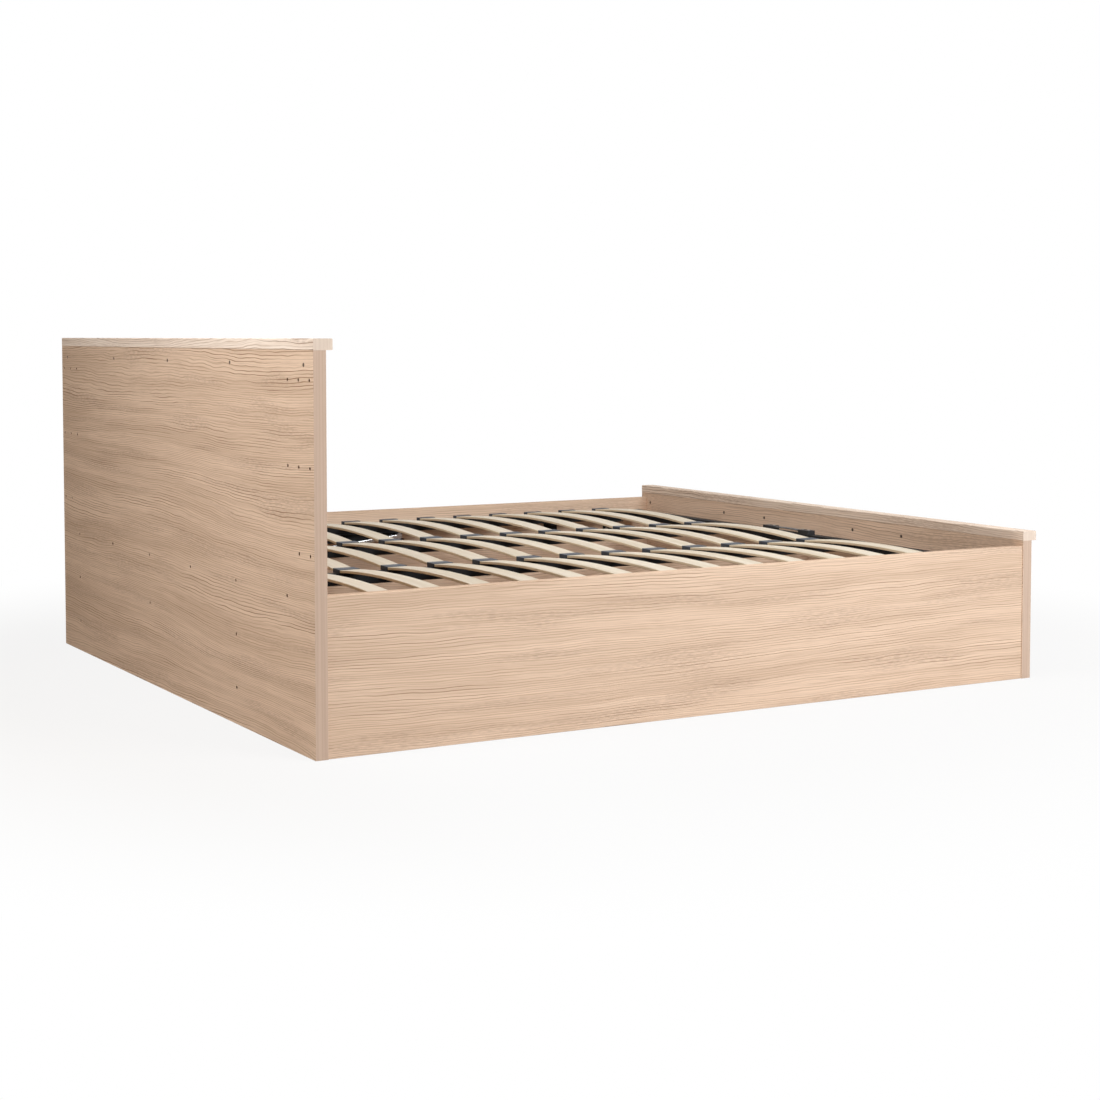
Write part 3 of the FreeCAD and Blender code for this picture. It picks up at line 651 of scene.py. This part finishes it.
def dress_well():
    # Brown fibreboard, made darker than its own colour as painted shade inside the storage well under the
    # slats
    dress(all_of("floor_panel"),
          grained("floor_fibreboard_painted_shade", dark=colour(151, 119, 93), pale=colour(163, 129, 102),
                  grain=fibreboard_grain, rough=(0.55, 0.72)))
    dress(["floor_cleats", "centre_dowels"], oak("batten_softwood", y_axis, batten_start, batten_tones))


def dress_slats():
    dress(all_of("slat_row"), birch())


def strap_height(x, bottom, free_half, rise):
    """Underside of the strap: flat in its blocks and a little bowed between them."""
    return bottom + rise * max(0.0, 1.0 - (x / free_half) ** 2)


def free_inner_end():
    """Where the strap leaves its blocks, read from the blocks' own corners."""
    return min(abs(vertex.co.x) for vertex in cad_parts["strap_blocks"].data.vertices)


def strap_ring(mesh, x, middle, bottom, width):
    """One closed cross-section of the strap, flat on both faces and round at its edges."""
    ring = []
    round_width = strap_thickness * strap_edge_share
    flat_half = width / 2 - round_width
    for side, height in ((1, bottom), (-1, bottom + strap_thickness)):
        for step in range(strap_cross_steps + 1):
            y = side * flat_half * (2 * step / strap_cross_steps - 1)
            ring.append(mesh.verts.new((x, middle + y, height)))
        edge = middle + side * (flat_half + round_width)
        ring.append(mesh.verts.new((x, edge, bottom + strap_thickness / 2)))
    return ring


def strap_mesh():
    """The strap's skin, a ring of points at each step along it and a face on each end."""
    low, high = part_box("pull_strap")
    rise = high.z - low.z - strap_thickness
    half = high.x
    free_half = free_inner_end()
    width = high.y - low.y
    middle = (high.y + low.y) / 2
    mesh = bmesh.new()
    rings = []
    for step in range(strap_steps + 1):
        x = -half + 2 * half * step / strap_steps
        bottom = strap_height(x, low.z, free_half, rise)
        rings.append(strap_ring(mesh, x, middle, bottom, width))
    for first, second in zip(rings, rings[1:]):
        for index in range(len(first)):
            after = (index + 1) % len(first)
            mesh.faces.new((first[index], first[after], second[after], second[index]))
    mesh.faces.new(list(reversed(rings[0])))
    mesh.faces.new(rings[-1])
    bmesh.ops.recalc_face_normals(mesh, faces=mesh.faces)
    return mesh


def placed(name, mesh):
    """An object in the scene made from a mesh that is being edited."""
    data = bpy.data.meshes.new(name)
    mesh.to_mesh(data)
    mesh.free()
    thing = bpy.data.objects.new(name, data)
    bpy.context.scene.collection.objects.link(thing)
    return thing


def pull_strap():
    """A woven band with rounded selvedges, in the place of the CAD strap."""
    strap = placed("woven_pull_strap", strap_mesh())
    for face in strap.data.polygons:
        face.use_smooth = True
    strap.data.materials.append(webbing())
    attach(strap, "lift_frame")
    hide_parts("pull_strap")


def floor_paint():
    """Matt floor, darker behind the headboard as painted shade that cuts the light it throws back, nearly
    white to the camera and white far out.
    """
    material = bpy.data.materials.new("studio_floor")
    tree = Tree(material)
    place = tree.nodes.new("ShaderNodeTexCoord").outputs["Object"]
    # Painted shade: the floor's matt tone turns darker behind the headboard
    behind = tree.between(tree.split(place)[y_axis], floor_painted_shade_range)
    matt = tree.blend(behind, tree.shader("BsdfDiffuse", Color=floor_tone),
                      tree.shader("BsdfDiffuse", Color=floor_behind_painted_shade_tone))
    glow = tree.shader("Emission", Color=white, Strength=white_strength)
    far_out = tree.between(tree.length(place), shadow_range, (floor_white_share, 1.0))
    share = tree.math("MULTIPLY", tree.seen_directly(), far_out)
    tree.show("Material", tree.blend(share, matt, glow))
    return material


def stage_floor():
    """Wide floor that keeps a soft shadow."""
    mesh = bmesh.new()
    bmesh.ops.create_grid(mesh, x_segments=floor_cells, y_segments=floor_cells, size=floor_half)
    floor = placed("studio_floor", mesh)
    floor.location.z = -floor_drop
    floor.data.materials.append(floor_paint())


def studio_world():
    """Soft light that is warmer from behind the headboard, with a white background to look at."""
    world = bpy.data.worlds.new("studio")
    tree = Tree(world)
    direction = tree.nodes.new("ShaderNodeTexCoord").outputs["Generated"]
    behind = tree.between(tree.split(direction)[y_axis], behind_range)
    soft = tree.blend(behind, tree.shader("Background", Color=ambient_tint, Strength=ambient_strength),
                      tree.shader("Background", Color=behind_tint, Strength=ambient_strength))
    plain = tree.shader("Background", Color=white, Strength=white_strength)
    tree.show("World", tree.blend(tree.seen_directly(), soft, plain))
    bpy.context.scene.world = world


def area_light(name, place, target, size, power, tint):
    """A flat lamp that faces its target."""
    data = bpy.data.lights.new(name, "AREA")
    data.shape = "RECTANGLE"
    data.size, data.size_y = size
    data.energy = power
    data.color = tint
    light = bpy.data.objects.new(name, data)
    light.location = place
    light.rotation_mode = "QUATERNION"
    light.rotation_quaternion = (target - Vector(place)).to_track_quat("-Z", "Y")
    bpy.context.scene.collection.objects.link(light)
    return light


def studio_lights():
    """A key lamp, one overhead, a far one that makes no highlights, and one behind the headboard."""
    area_light("key", key_place, bed_middle, key_size, key_power, key_tint)
    area_light("top", top_place, bed_middle, top_size, top_power, top_tint)
    fill = area_light("far_fill", fill_place, bed_middle, fill_size, fill_power, fill_tint)
    fill.visible_glossy = False
    area_light("back_fill", back_place, headboard_back, back_size, back_power, back_tint)


def photo_camera():
    """The photograph's view."""
    data = bpy.data.cameras.new("photo_camera")
    data.sensor_width = camera_sensor
    data.lens = camera_focal_pixels / frame_pixels * camera_sensor
    data.shift_y = (camera_axis_row - frame_pixels / 2) / frame_pixels
    camera = bpy.data.objects.new("photo_camera", data)
    camera.location = camera_place
    level = math.cos(camera_pitch)
    forward = Vector((math.cos(camera_yaw) * level,
                      math.sin(camera_yaw) * level,
                      -math.sin(camera_pitch)))
    camera.rotation_mode = "QUATERNION"
    camera.rotation_quaternion = forward.to_track_quat("-Z", "Y")
    bpy.context.scene.collection.objects.link(camera)
    bpy.context.scene.camera = camera


photo_camera()
studio_world()
studio_lights()
stage_floor()
dress_boards()
dress_steel()
dress_plastic()
dress_well()
dress_slats()
pull_strap()
bpy.context.scene.view_settings.view_transform = "Standard"
